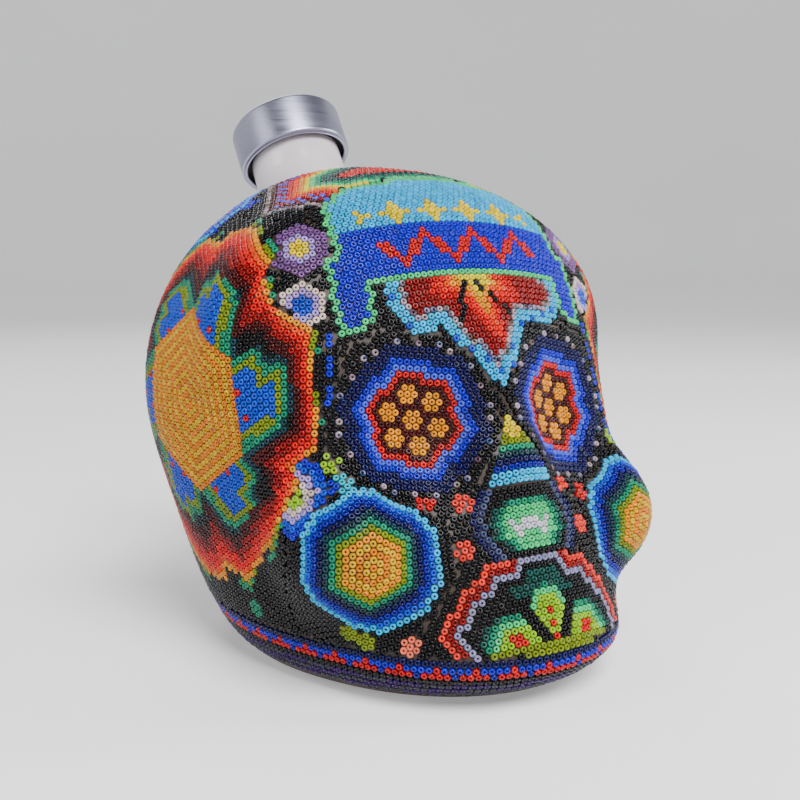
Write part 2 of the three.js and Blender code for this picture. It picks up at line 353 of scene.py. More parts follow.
def depths(within, span):
    """For each cell of a region of the lattice, its row counted inwards from the region's edge, from 1."""
    cells = [(i, j) for i in range(-span, span + 1) for j in range(-span, span + 1) if rings(i, j) <= span]
    depth = {c: 0 for c in cells if not within(*c)}
    rim, known = list(depth), set(cells)
    while rim:
        fresh = []
        for i, j in rim:
            for a, b in STEPS:
                c = (i + a, j + b)
                if c in known and c not in depth:
                    depth[c] = depth[i, j] + 1
                    fresh.append(c)
        rim = fresh
    return depth


def drawn(outline, span=30):
    return depths(lambda i, j: inside(outline, *plane(i, j)), span)


GLINTS = ("glint_rose", "glint_cream", "glint_teal", "glint_blue", "glint_violet", "glint_plum")


def glint(i, j):
    return GLINTS[(i * 7 + j * 11 + i * j) % len(GLINTS)]


# ---- What each motif's cells are coloured; None lies outside the motif ----
EYE_FLOWERS = [(0, 0), (1, 3), (-3, 4), (-4, 1), (-1, -3), (3, -4), (4, -1)]
EYE_BANDS = ["amber", "amber", "maroon", "red", "periwinkle", "royal", "navy", "navy"]


def eye(i, j):
    d = min(rings(i - a, j - b) for a, b in EYE_FLOWERS)
    if d < len(EYE_BANDS):
        return EYE_BANDS[d]
    if d == 8:
        return "black" if (i + 2 * j) % 3 else glint(i, j)
    return None


CHEEK_BANDS = ["honey", "gold", "honey", "gold", "amber", "olive", "teal", "slate", "navy",
               "indigo", "blue", "lightblue"]


def cheek(i, j):
    d = rings(i, j)
    round_d = math.hypot(*plane(i, j)) / ROW * 0.97
    rounder = min(max((d - 5) / 5, 0), 1)
    level = int(d + rounder * (round_d - d) + 0.5)
    return CHEEK_BANDS[level] if level < len(CHEEK_BANDS) else None


# The nose is a triangle of rows that widen downwards, two beads wide at its tip.
NOSE_ROWS = ["yellow", "yellow", "yellow", "yellow", "olive", "teal", "slate", "navy", "indigo",
             "lightblue", "lightblue"]


def nose(i, j):
    row = -j
    if not 0 <= row < len(NOSE_ROWS) or not 0 <= i <= row:
        return None
    return "olive" if row == 3 and i in (0, row) else NOSE_ROWS[row]


def lip_panel(i, j):
    across = abs(i + j / 2)
    if abs(j) > 5:
        return None
    frame = 7.4 - 0.075 * j * j
    if abs(across - frame) < 0.5:
        return "steel"
    if abs(across - frame - 1) <= 0.5:
        return "navy"
    if across > frame:
        return None
    half = 5.3 - 0.17 * (j + 0.7) ** 2
    if not -4 <= j <= 3 or across > half + 1:
        return "black"
    if across > half:
        return "teal_dark"
    if j == 3 or across > half - 1:
        return "teal"
    if j == 2 or across > half - 2:
        return "mint"
    # a short zigzag
    wave = abs((i + j / 2 + 20) % 4 - 2) - 1
    return "white" if across < 4 and abs(j + 0.8 - 1.2 * wave) < 0.85 else "mint"


FAN = [(3.5, 15), (-0.5, 14.2), (-9, 13), (-10, 10.6), (-15, 10), (-16.5, 7.2), (-22.5, 6.2),
       (-24.5, 2.5), (-27, -0.5), (-29.6, -4), (-28.6, -8), (-27.5, -11), (-24, -16), (-24, -30),
       (27, -30), (29, -10), (28, -5), (25.5, 0.5), (20, 5), (17, 8), (10.5, 9.8), (8, 13)]
FAN_ROWS = drawn(FAN)
FAN_BANDS = ["coral", "crimson", "lilac_grey", "black"]
FAN_MIDDLE = {2: 1, 1: 2.5, 0: 3, -1: 3.5, -2: 3, -3: 2.5, -4: 2, -5: 1.5, -6: 1}
FAN_SIDE = {-2: 7.7, -3: 8.7, -4: 9.5, -5: 10, -6: 10.2}


def fan(i, j):
    row = FAN_ROWS.get((i, j), 0)
    if row == 0 or j < -8:
        return None
    if row <= len(FAN_BANDS):
        return FAN_BANDS[row - 1]
    u = i + j / 2
    across = abs(u)
    if j <= -7:
        return "olive" if across < 10 else "black"
    half = FAN_MIDDLE.get(j, 0)
    if across < half:
        deep = half - across
        if j >= -1:
            return "teal" if deep <= 0.6 or j == 2 else "mint" if deep <= 1.6 or j == 1 else "lime"
        if j == -2 and deep <= 0.6:
            return "mint"
        red = {-3: 0.4, -4: 0.9, -5: 0.4}.get(j, 0)
        return "red" if across <= red else "lime"
    if across < half + 1.1 and j <= 0:
        return "black"
    outer = FAN_SIDE.get(j, 0)
    if across < outer:
        level = min(-2 - j, outer - across)
        if level < 1:
            return "teal"
        if level < 2:
            return "mint"
        return "red" if j in (-5, -6) and abs(across - 5.8) < 1.05 else "lime"
    return "teal_dark" if across < outer + 1.1 or (across < 5.5 and j > 0) else "black"


# The ribbon, its two hanging ends and the flower that hangs from it share one lattice.
RIBBON = both_sides([(0, 22), (-10, 21.4), (-21, 20.4), (-28.6, 19.4), (-34.8, 13.5), (-36.6, 3),
                     (-36.6, -3.6), (-39.6, -4.6), (-41.6, -26), (-31.0, -24), (-29.2, -13.9)])
RIBBON_ROWS = drawn(RIBBON)


def ribbon(i, j):
    x, y = plane(i, j)
    row = RIBBON_ROWS.get((i, j), 0)
    if row == 0:
        return flower(i, j, x, y + 9 * ROW)
    if row == 1:
        return "mint"
    if j > 1:
        # small lozenges on the sky strip
        lozenge = abs((x / PITCH + 30) % 6 - 3) + abs(j - 4)
        return "yellow" if abs(x) < 28 and lozenge < 2.2 else "sky"
    # a zigzag along the royal strip
    wave = abs((x / PITCH + 30) % 8 - 4) - 2
    return "red" if abs(x) < 25 and abs(j + 3 - 1.3 * wave) < 1.2 else "royal"


FLOWER = [(0.5, -30.5), (-5, -24), (-10.6, -18.4), (-14, -12.9), (-18.5, -14), (-23, -13.2), (-27.4, -5),
          (-26.5, -0.5), (-23, 6), (25, 6), (30, 0.5), (31.5, -5), (27, -11), (21, -12), (14.5, -12.4),
          (10.6, -18), (6, -24)]
FLOWER_ROWS = depths(lambda i, j: inside(FLOWER, plane(i, j)[0], plane(i, j)[1] + 9 * ROW), 32)
LOBES = (((-0.94, -0.34), 0.80, 1.1), ((0.3, -0.95), 0.45, 1.5), ((0.93, -0.37), 0.60, 1.1))
HEAT = ((4.2, "yellow"), (5.8, "amber"), (7.4, "orange"), (9.0, "red_orange"), (11.4, "red"))


def flower(i, j, x, y):
    row = FLOWER_ROWS.get((i, j), 0)
    if row == 0 or y > 0.5:
        return None
    if row <= 2:
        return "lightblue" if (i * 3 + j) % 7 else "blue"
    if row == 3:
        return glint(i, j)
    left = -3.9 + 0.29 * y
    right = -1.9 - 1.12 * y
    if y < -1 and (abs(x - left) < 0.5 * PITCH or (abs(x - right) < 0.55 * PITCH and y > -13)):
        return "black"
    lobe = 0 if x < left else 1 if x < right else 2
    (ax, ay), run, drift = LOBES[lobe]
    px, py = x + 1.9, y - 0.8
    heat = abs(px * ax + py * ay) * run + abs(px * ay - py * ax) * drift
    return next((name for limit, name in HEAT if heat < limit), "crimson")


# The mandala: a hexagon of rings, a petal on each side, and a star of bands round them. Each corner
# of the star is given as (radius, angle) on its inner edge and on its outer one, for half a turn.
STAR_CORNERS = [
    ((29, 3), (46, 9)), ((33, 3), (50, 8)), ((38, -3), (51, -5)), ((36, -13), (50, -11)),
    ((38, -35), (48, -31)), ((28, -53), (43, -38)), ((36, -55), (41, -46)), ((35, -63), (42, -56)),
    ((38, -70), (46, -65)), ((38, -77), (44, -80)), ((39, -96), (46, -103)), ((29, -117), (42, -111)),
    ((33, -117), (46, -112)), ((39, -122), (47, -126)), ((36, -133), (48, -132)), ((39, -156), (50, -158)),
]
STAR_BANDS = ["maroon", "maroon", "crimson", "crimson", "red", "red_orange", "orange", "amber"]


def star(share):
    """The star's outline this far out from its inner edge, 0, to its outer one, 1."""
    corners = [(a + (c - a) * share, math.radians(b + (d - b) * share - half))
               for half in (0, 180) for (a, b), (c, d) in STAR_CORNERS]
    return [(r * math.cos(t), r * math.sin(t)) for r, t in corners]


STARS = [star(k / len(STAR_BANDS)) for k in range(len(STAR_BANDS) + 3)]
PETAL = [(-0.4, -4.3), (6.4, -1.0), (7.3, 1.2), (7.0, 3.9), (6.0, 3.7), (4.3, 1.9), (3.7, 5.2), (2.6, 5.9),
         (-0.4, 3.6)]
PETAL_SPOTS = ((0.8, 2.2), (5.0, 0.8), (1.4, -2.0))


def mandala(i, j):
    d = rings(i, j)
    if d <= 13:
        return "honey" if d % 2 else "gold"
    x, y = plane(i, j)
    edge = next((k for k, outline in enumerate(STARS) if inside(outline, x, y)), None)
    turn = math.degrees(math.atan2(y, x))
    if edge is None:
        return None
    if edge > len(STAR_BANDS):
        combed = (i + 2 * j) % 11 < 6 and 14 < turn % 60 < 56
        return ("olive", "teal")[edge - len(STAR_BANDS) - 1] if combed else None
    if edge > 0:
        return STAR_BANDS[edge - 1]
    middle = math.radians(60 * math.floor(turn / 60) + 30)
    out = (x * math.cos(middle) + y * math.sin(middle)) / ROW - 13.6
    side = (-x * math.sin(middle) + y * math.cos(middle)) / PITCH
    deep = depth_in(PETAL, out, side)
    if deep > 0:
        return "red" if any(math.hypot(out - p, side - q) < 0.5 for p, q in PETAL_SPOTS) else "blue"
    return ("olive", "teal", "slate", "black")[min(int(-deep / 0.95), 3)]


def mirrored(rule):
    """The same motif as a mirror shows it, for a lattice whose rows head up."""
    return lambda i, j: rule(i + j, -j)


MEDALLION_FLOWERS = [(0, 0), (2, 4), (-4, 6), (-6, 2), (-2, -4), (4, -6), (6, -2)]
MEDALLION_BANDS = ["yellow", "yellow", "red", "maroon", "crimson", "orange", "amber", "olive", "teal",
                   "navy", "royal", "lightblue"]


def medallion(i, j):
    d = min(rings(i - a, j - b) for a, b in MEDALLION_FLOWERS)
    return MEDALLION_BANDS[d] if d < len(MEDALLION_BANDS) else None


CROWN = both_sides([(0, -26), (-30, -24), (-45, -2.5), (-29.5, 25), (-6, 40)])
CROWN_ROWS = drawn(CROWN, 34)
CROWN_BANDS = ["glint", "maroon", "crimson", "crimson", "red", "orange", "amber", "yellow", "mint", "teal",
               "teal_dark", "teal_dark", "black"]


def crown(i, j):
    row = CROWN_ROWS.get((i, j), 0)
    if row == 0:
        return None
    name = CROWN_BANDS[row - 1] if row <= len(CROWN_BANDS) else "red"
    if name == "crimson" and (i - 2 * j) % 5 in (0, 1):
        return "periwinkle"
    return glint(i, j) if name == "glint" else name


def rosette(*bands):
    return lambda i, j: bands[rings(i, j)] if rings(i, j) < len(bands) else None


def dashes(i, j):
    if j != 0 or not -17 <= i <= 0:
        return None
    return "black" if i % 4 == 2 else "royal"


RIGHT, UP = (1.0, 0.0, 0.0), (0.0, 0.0, 1.0)


def tilted(degrees):
    """A heading in the face's plane, anticlockwise from the viewer's right."""
    t = math.radians(degrees)
    return (math.cos(t), 0.0, math.sin(t))


# name, place of the heart, heading of the rows, colours
MOTIFS = [
    ("right_eye", (-22.5, -47.0, 70.3), tilted(-8), eye),
    ("left_eye", (22.5, -47.0, 70.3), tilted(-8), eye),
    ("nose", (0.0, -57.5, 70.3), RIGHT, nose),
    ("ribbon", (0.0, -34.5, 118.0), RIGHT, ribbon),
    ("lip_panel", (0.3, -65.5, 45.6), RIGHT, lip_panel),
    ("fan", (0.0, -75.1, 26.6), RIGHT, fan),
    ("right_cheek", (-44.1, -62.8, 38.4), UP, cheek),
    ("left_cheek", (44.1, -62.8, 38.4), UP, cheek),
    ("crown", (0.0, -6.0, 137.0), RIGHT, crown),
    ("right_mandala", (-64.4, -0.9, 73.4), UP, mandala),
    ("left_mandala", (64.4, -0.9, 73.4), UP, mirrored(mandala)),
    ("medallion", (0.0, 74.0, 70.0), UP, medallion),
]
for side in (-1, 1):
    MOTIFS += [
        (f"dashes_{side}", (side * 41.9, -38.3, 92.0), UP, dashes),
        (f"temple_mauve_{side}", (side * 43.6, -26.4, 113.6), tilted(-20 * side),
         rosette("yellow", "yellow", "lilac", "mauve", "mauve")),
        (f"temple_blue_{side}", (side * 46.9, -33.2, 99.9), tilted(-20 * side),
         rosette("blue", "blue", "lilac", "cream")),
        (f"half_flower_{side}", (side * 54.1, -42.2, 52.4), UP,
         rosette("lime", "lime", "cream", "lilac", "blue", "royal")),
        (f"top_flower_{side}", (side * 37.0, 28.0, 119.0), UP,
         rosette("lime", "lime", "cream", "lilac", "periwinkle", "periwinkle", "blue", "sky", "royal")),
        (f"back_flower_{side}", (side * 43.0, 55.0, 96.0), UP,
         rosette("yellow", "yellow", "red", "maroon", "orange", "amber", "olive")),
        (f"nape_flower_{side}", (side * 44.0, 57.0, 38.0), UP,
         rosette("lime", "lime", "cream", "lilac", "blue", "royal", "navy")),
    ]


BAND_ROWS, BAND_START, BAND_PITCH, BAND_STEPS = 8, 2.75, 1.6, 1440


def lay_base_band(layout):
    """Even rings of beads round the base, each row half a bead on from the one below."""
    for row in range(BAND_ROWS):
        z = BAND_START + BAND_PITCH * row
        turn = np.linspace(0, 2 * math.pi, BAND_STEPS + 1)
        ray = np.stack([np.sin(turn), -np.cos(turn), np.zeros_like(turn)], -1)
        far = reach(ray, BEAD_LAYER / 2, start=np.array([0.0, 0.0, z]))
        line = np.array([0, 0, z]) + ray * far[:, None]
        run = np.concatenate([[0], np.cumsum(np.linalg.norm(np.diff(line, axis=0), axis=1))])
        count = 2 * round(run[-1] / PITCH / 2)
        for k in range(count):
            s = (k + 0.5 * (row % 2)) / count * run[-1]
            p = tuple(float(np.interp(s, run, line[:, m])) for m in range(3))
            _, n = settle(p)
            layout.put(p, n, flat((-n[1], n[0], 0.0), n), "base", (k, row), base_colour(k, row))


def base_colour(k, row):
    if row <= 3:
        check = (k + (row + 1) // 2) % 9
        return "violet" if check < 5 else "ash"
    if row == 4:
        return "black"
    if row == 5:
        return "blue_deep" if (k + 2) % 5 == 0 else "red"
    if row == 6:
        return "red" if (k + 2) % 5 == 0 else "royal"
    return "navy"


COLLAR_RINGS, COLLAR_START, COLLAR_PITCH, COLLAR_STEPS = 5, 1.05, 1.62, 720


def lay_collar(layout):
    """Rings of beads round the root of the neck."""
    for ring in range(COLLAR_RINGS):
        turn = np.linspace(0, 2 * math.pi, COLLAR_STEPS + 1)
        radius = COLLAR_HOLE + COLLAR_START + COLLAR_PITCH * ring
        line = ring_round_neck(turn, radius, BEAD_LAYER / 2, 22)
        run = np.concatenate([[0], np.cumsum(np.linalg.norm(np.diff(line, axis=0), axis=1))])
        count = round(run[-1] / PITCH)
        for k in range(count):
            s = (k + 0.5 * (ring % 2)) / count * run[-1]
            p = tuple(float(np.interp(s, run, line[:, m])) for m in range(3))
            _, n = settle(p)
            angle = 360 * k / count
            here, ahead = (int(COLLAR_STEPS * m / count) for m in (k, (k + 1) % count))
            along = flat(tuple(line[ahead] - line[here]), n)
            layout.put(p, n, along, "collar", (k, ring), collar_colour(angle, ring))


def collar_colour(angle, ring):
    return ("black", "maroon", "crimson", "red", "periwinkle" if int(angle / 9) % 3 == 0 else "red")[ring]


def lay_beads():
    layout = Layout()
    lay_base_band(layout)
    lay_collar(layout)
    order = 0
    waiting = []
    for name, heart, heading, rule in MOTIFS:
        layout.seed(name, heart, heading, rule(0, 0) or "black")
        queue = [(1.0, k, step) for k, step in enumerate(STEPS)]
        tried = set(STEPS) | {(0, 0)}
        while queue:
            _, _, cell = heapq.heappop(queue)
            colour = rule(*cell)
            if colour is None:
                waiting.append((0, order, name, cell))
                order += 1
                continue
            if not layout.grow(name, cell, colour):
                continue
            for a, b in STEPS:
                fresh = (cell[0] + a, cell[1] + b)
                if fresh not in tried:
                    tried.add(fresh)
                    order += 1
                    heapq.heappush(queue, (math.hypot(*plane(*fresh)), order, fresh))
    motif_count = len(layout.at)
    # the ground: every motif's rows run on until they meet their neighbours'
    heapq.heapify(waiting)
    tried = set()
    while waiting:
        generation, _, name, cell = heapq.heappop(waiting)
        if (name, cell) in tried or (name, cell) in layout.taken:
            continue
        tried.add((name, cell))
        if not layout.grow(name, cell, "ground"):
            continue
        for a, b in STEPS:
            fresh = (cell[0] + a, cell[1] + b)
            order += 1
            if (name, fresh) not in tried:
                heapq.heappush(waiting, (generation + 1, order, name, fresh))
    fill_gaps(layout, FIRST_FIT)
    return layout, motif_count


def fill_gaps(layout, closest):
    """Puts a bead wherever one still fits."""
    for k in range(len(layout.at)):
        if len(layout.around(layout.at[k], BESIDE)) >= 7:
            continue
        for turn in range(0, 360, 20):
            way = turned(layout.along[k], layout.normal[k], turn)
            p, n = settle(add(layout.at[k], way, 0.98 * PITCH))
            near = layout.around(p, PITCH)
            if any(d < closest for d, _ in near) or not free(p):
                continue
            layout.put(p, n, layout.along[k], "fill", (len(layout.at), 0), "ground")


def relax(places, stiff, rounds=12):
    """Eases crowded beads apart, the ground more than the motifs."""
    p = np.array(places)
    pairs = close_pairs(p, 1.25 * PITCH)
    a, b = pairs[:, 0], pairs[:, 1]
    for _ in range(rounds):
        gap = p[b] - p[a]
        d = np.linalg.norm(gap, axis=1)
        push = np.maximum(PITCH * 0.99 - d, 0)[:, None] * gap / d[:, None] * 0.5
        move = np.zeros_like(p)
        np.add.at(move, b, push)
        np.add.at(move, a, -push)
        p += move * 0.6 * (1 - stiff[:, None])
        p += normals(p) * (-BEAD_LAYER / 2 - skull(p))[:, None]
    return p


def close_pairs(p, within):
    cell = np.floor(p / within).astype(np.int64)
    boxes = {}
    for k, c in enumerate(map(tuple, cell)):
        boxes.setdefault(c, []).append(k)
    ways = [(a, b, c) for a in (-1, 0, 1) for b in (-1, 0, 1) for c in (-1, 0, 1) if (a, b, c) > (0, 0, 0)]
    found = []
    for c, own in boxes.items():
        others = [k for w in ways for k in boxes.get((c[0] + w[0], c[1] + w[1], c[2] + w[2]), ())]
        for n, k in enumerate(own):
            found += [(k, m) for m in own[n + 1:]]
            found += [(k, m) for m in others]
    found = np.array(found)
    d = np.linalg.norm(p[found[:, 0]] - p[found[:, 1]], axis=1)
    return found[d < within]


FLOWERS = [  # small seven-bead flowers on the black ground, and their colours
    ((-24.0, -57.0, 51.7), "red"), ((24.5, -59.5, 48.4), "red"),
    ((-17.5, -62, 50.5), "coral"), ((-18.5, -64, 40), "coral"),
    ((18, -62, 50.5), "coral"), ((19, -64, 41), "coral"),
    ((-45.4, -45.9, 61.9), "lime"), ((-46.2, -49.7, 56.7), "turquoise"), ((46.0, -46.5, 60.0), "lime"),
    ((-33.2, -63.4, 17.6), "salmon"), ((33.2, -63.4, 17.6), "salmon"),
    ((-44.7, -51.5, 19.1), "olive"), ((-41.5, -53.5, 17.6), "olive"), ((44.7, -51.5, 19.1), "olive"),
    ((-54, -20, 18), "teal"), ((54, -20, 18), "teal"), ((-50, 40, 26), "lime"), ((50, 40, 26), "lime"),
    ((-26, 62, 112), "salmon"), ((26, 62, 112), "salmon"),
    ((-48, 45, 106), "turquoise"), ((48, 45, 106), "turquoise"),
    ((-34, 66, 34), "salmon"), ((34, 66, 34), "salmon"),
    ((-14, 66, 24), "turquoise"), ((14, 66, 24), "turquoise"),
    ((0, 72, 112), "lime"), ((-30, 40, 122), "olive"), ((30, 40, 122), "olive"),
    ((-38.2, 13.6, 125.6), "royal"), ((38.2, 13.6, 125.6), "royal"),
]


MOTIF_STIFF, GROUND_STIFF, FILL_STIFF = 0.9, 0.25, 0.1  # 1 would keep a bead in its place


def lay_all():
    """The finished layout: where each bead sits, the way its hole points and its colour."""
    layout, motif_count = lay_beads()
    stiff = np.full(len(layout.at), GROUND_STIFF)
    stiff[:motif_count] = MOTIF_STIFF
    parted = relax(layout.at, stiff)
    layout.grid = {}
    for k, q in enumerate(parted.tolist()):
        layout.at[k], layout.normal[k] = settle(q)
        layout.grid.setdefault(layout.key(layout.at[k]), []).append(k)
    fill_gaps(layout, LAST_FIT)
    stiff = np.concatenate([stiff, np.full(len(layout.at) - len(stiff), FILL_STIFF)])
    at = relax(layout.at, stiff)
    colour = ["black" if c == "ground" else c for c in layout.colour]
    loose = np.array([k >= motif_count for k in range(len(at))])
    for middle, name in FLOWERS:
        middle = np.array(settle(middle)[0])
        d = np.linalg.norm(at - middle, axis=1)
        heart = int(np.argmin(d + 1e3 * ~loose))
        if d[heart] > 2 * PITCH:
            continue
        d = np.linalg.norm(at - at[heart], axis=1)
        for k in np.flatnonzero((d < BESIDE) & loose):
            colour[k] = name
    return at, normals(at), np.array(layout.along), colour


# ==== Blender objects ====
def linear(code):
    """A colour of glass, a little purer than it looks under white light."""
    c = np.array([int(code[k:k + 2], 16) for k in (1, 3, 5)]) / 255
    c = np.where(c <= 0.04045, c / 12.92, ((c + 0.055) / 1.055) ** 2.4)
    return (c.mean() + (c - c.mean()) * 1.3).clip(0.0, 1.0) * 0.62


GLASS = {name: linear(code) for name, code in {
    "black": "#08080c", "navy": "#11174a", "indigo": "#1d2196", "royal": "#2a2fc4", "blue": "#2f5fd0",
    "blue_deep": "#1c2a98", "sky": "#46c0f4", "lightblue": "#5ac4fa", "turquoise": "#2fb8c8",
    "periwinkle": "#6a74e6", "lilac": "#b9a6e0", "cream": "#e8d8d0", "white": "#e8e6ee",
    "teal_dark": "#0f4a44", "teal": "#178a6a", "mint": "#5fd08c", "lime": "#9bc53a", "olive": "#7f8f1e",
    "yellow": "#f4dc10", "gold": "#e2b810", "honey": "#e6900a", "amber": "#f6a313",
    "orange": "#f2660f", "red_orange": "#e63c14", "red": "#cc0c18", "crimson": "#8a0a1e",
    "maroon": "#450a14", "coral": "#f0605a", "salmon": "#f58a78",
    "mauve": "#7a5a8a", "violet": "#3a1f5c", "ash": "#3a3a46", "steel": "#4a5070", "slate": "#1d3a44",
    "lilac_grey": "#9a9ab8", "glint_rose": "#6a4a60", "glint_cream": "#685c4c", "glint_teal": "#1c5252",
    "glint_blue": "#2a4a78", "glint_violet": "#44306c", "glint_plum": "#382440",
}.items()}


def piece(mesh, body, material, replaces=()):
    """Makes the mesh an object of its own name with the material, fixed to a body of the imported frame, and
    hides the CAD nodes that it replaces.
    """
    o = bpy.data.objects.new(mesh.name, mesh)
    bpy.context.scene.collection.objects.link(o)
    mesh.materials.append(material)
    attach(o, body)
    if replaces:
        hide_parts(*replaces)


def mesh_of(name, verts, faces):
    """A smooth mesh from points in metres and equal-sided faces."""
    mesh = bpy.data.meshes.new(name)
    sides = faces.shape[1]
    mesh.vertices.add(len(verts))
    mesh.vertices.foreach_set("co", np.asarray(verts, np.float32).ravel())
    mesh.loops.add(faces.size)
    mesh.loops.foreach_set("vertex_index", faces.astype(np.int32).ravel())
    mesh.polygons.add(len(faces))
    mesh.polygons.foreach_set("loop_start", np.arange(0, faces.size, sides, dtype=np.int32))
    mesh.polygons.foreach_set("use_smooth", np.ones(len(faces), bool))
    mesh.update(calc_edges=True)
    return mesh


def loop_faces(rows, columns, close_rows):
    """Quads of a grid that closes along its columns, and along its rows if asked."""
    a = np.arange(rows if close_rows else rows - 1)
    b = np.arange(columns)
    a, b = np.meshgrid(a, b, indexing="ij")
    up, on = (a + 1) % rows, (b + 1) % columns
    corners = [a * columns + b, up * columns + b, up * columns + on, a * columns + on]
    return np.stack(corners, -1).reshape(-1, 4)


# ---- Materials ----
def nodes_of(name, **sockets):
    m = bpy.data.materials.new(name)
    m.use_nodes = True
    shader = m.node_tree.nodes["Principled BSDF"]
    for key, value in sockets.items():
        shader.inputs[key.replace("_", " ")].default_value = value
    return m, m.node_tree, shader


def mix(tree, factor, first, second, kind="MIX"):
    node = tree.nodes.new("ShaderNodeMix")
    node.data_type = "RGBA"
    node.blend_type = kind
    for socket, value in ((0, factor), (6, first), (7, second)):
        if isinstance(value, bpy.types.NodeSocket):
            tree.links.new(value, node.inputs[socket])
        else:
            node.inputs[socket].default_value = value
    return node.outputs[2]


def noise(tree, scale, detail=3.0, stretch=(1, 1, 1), turn=(0, 0, 0)):
    place = tree.nodes.new("ShaderNodeTexCoord")
    mapping = tree.nodes.new("ShaderNodeMapping")
    mapping.inputs["Scale"].default_value = stretch
    mapping.inputs["Rotation"].default_value = turn
    node = tree.nodes.new("ShaderNodeTexNoise")
    node.inputs["Scale"].default_value = scale
    node.inputs["Detail"].default_value = detail
    tree.links.new(place.outputs["Object"], mapping.inputs[0])
    tree.links.new(mapping.outputs[0], node.inputs["Vector"])
    return node.outputs[0]


def ramp(tree, value, low, high, first, second):
    node = tree.nodes.new("ShaderNodeMapRange")
    tree.links.new(value, node.inputs[0])
    for k, v in enumerate((low, high, first, second)):
        node.inputs[k + 1].default_value = v
    return node.outputs[0]


def bump(tree, shader, value, strength, distance):
    node = tree.nodes.new("ShaderNodeBump")
    node.inputs["Strength"].default_value = strength
    node.inputs["Distance"].default_value = distance
    tree.links.new(value, node.inputs["Height"])
    tree.links.new(node.outputs[0], shader.inputs["Normal"])


def bead_glass():
    """Opaque glass: each bead's own colour, a little uneven within the bead."""
    m, tree, shader = nodes_of("bead_glass", Roughness=0.17, Specular_IOR_Level=0.22)
    own = tree.nodes.new("ShaderNodeVertexColor")
    own.layer_name = "bead"
    streaks = ramp(tree, noise(tree, 900, 2.0), 0.35, 0.7, 0.0, 1.0)
    deep = mix(tree, 0.78, own.outputs[0], (0.55, 0.55, 0.55, 1), "MULTIPLY")
    tree.links.new(mix(tree, streaks, deep, own.outputs[0]), shader.inputs["Base Color"])
    return m


def bead_lustre():
    """Glass with a thin metal lustre, for the beads that glint."""
    m, tree, shader = nodes_of("bead_lustre", Roughness=0.22, Metallic=0.15, Specular_IOR_Level=0.4)
    own = tree.nodes.new("ShaderNodeVertexColor")
    own.layer_name = "bead"
    shift = ramp(tree, noise(tree, 420, 1.0), 0.35, 0.65, 0.0, 1.0)
    warm = mix(tree, 0.5, own.outputs[0], (0.55, 0.42, 0.5, 1), "MIX")
    tree.links.new(mix(tree, shift, own.outputs[0], warm), shader.inputs["Base Color"])
    return m


def dark_wax():
    m, tree, shader = nodes_of("dark_wax", Roughness=0.5, IOR=1.44)
    grime = ramp(tree, noise(tree, 160, 5.0), 0.35, 0.7, 0.0, 1.0)
    colour = mix(tree, grime, (0.016, 0.009, 0.006, 1), (0.045, 0.024, 0.012, 1))
    tree.links.new(colour, shader.inputs["Base Color"])
    bump(tree, shader, noise(tree, 700, 4.0), 0.5, 0.0002)
    return m


def glazed_ceramic():
    m, tree, shader = nodes_of("glazed_ceramic", IOR=1.5, Coat_Weight=0.5, Coat_Roughness=0.06)
    pool = ramp(tree, noise(tree, 60, 3.0), 0.3, 0.7, 0.0, 1.0)
    body = mix(tree, pool, (0.50, 0.44, 0.48, 1), (0.60, 0.55, 0.58, 1))
    speck = ramp(tree, noise(tree, 1500, 2.0), 0.70, 0.74, 0.0, 0.5)
    tree.links.new(mix(tree, speck, body, (0.34, 0.27, 0.24, 1)), shader.inputs["Base Color"])
    tree.links.new(ramp(tree, noise(tree, 240, 3.0), 0.3, 0.7, 0.12, 0.24), shader.inputs["Roughness"])
    bump(tree, shader, noise(tree, 110, 2.0), 0.12, 0.0006)
    return m


def satin_metal():
    """Aluminium turned on a lathe: fine rings round the axis, faint handling marks, and a blue-lavender tint
    that is a painted reflection of the studio.
    """
    m, tree, shader = nodes_of("satin_metal", Metallic=1.0)
    turn = (TILT, 0, 0)
    lathe_rings = noise(tree, 60, 4.0, (1, 1, 90), turn)
    smear = ramp(tree, noise(tree, 55, 4.0), 0.35, 0.7, 0.0, 1.0)
    # painted reflection: the blue-lavender tint of both colours stands in for the studio seen in the metal;
    # the handling marks vary it at random
    colour = mix(tree, smear, (0.30, 0.30, 0.40, 1), (0.37, 0.37, 0.47, 1))
    tree.links.new(colour, shader.inputs["Base Color"])
    tree.links.new(ramp(tree, lathe_rings, 0.3, 0.7, 0.26, 0.40), shader.inputs["Roughness"])
    bump(tree, shader, lathe_rings, 0.10, 0.00005)
    return m


def agglomerated_cork():
    m, tree, shader = nodes_of("agglomerated_cork", Roughness=0.8)
    place = tree.nodes.new("ShaderNodeTexCoord")
    grain = tree.nodes.new("ShaderNodeTexVoronoi")
    grain.inputs["Scale"].default_value = 520
    tree.links.new(place.outputs["Object"], grain.inputs["Vector"])
    tone = ramp(tree, noise(tree, 330, 3.0), 0.3, 0.7, 0.0, 1.0)
    body = mix(tree, tone, (0.36, 0.21, 0.10, 1), (0.60, 0.40, 0.22, 1))
    pits = ramp(tree, grain.outputs["Distance"], 0.05, 0.5, 0.0, 1.0)
    tree.links.new(mix(tree, pits, (0.20, 0.10, 0.05, 1), body), shader.inputs["Base Color"])
    bump(tree, shader, grain.outputs["Distance"], 0.5, 0.0003)
    return m


def moulded_insert():
    m, tree, shader = nodes_of("moulded_insert", Roughness=0.55)
    tone = ramp(tree, noise(tree, 180, 3.0), 0.3, 0.7, 0.0, 1.0)
    colour = mix(tree, tone, (0.018, 0.017, 0.016, 1), (0.032, 0.03, 0.028, 1))
    tree.links.new(colour, shader.inputs["Base Color"])
    bump(tree, shader, noise(tree, 900, 2.0), 0.2, 0.0001)
    return m


GLASS_MATERIAL, LUSTRE, WAX = bead_glass(), bead_lustre(), dark_wax()
CERAMIC_MATERIAL, METAL = glazed_ceramic(), satin_metal()
CORK, INSERT = agglomerated_cork(), moulded_insert()

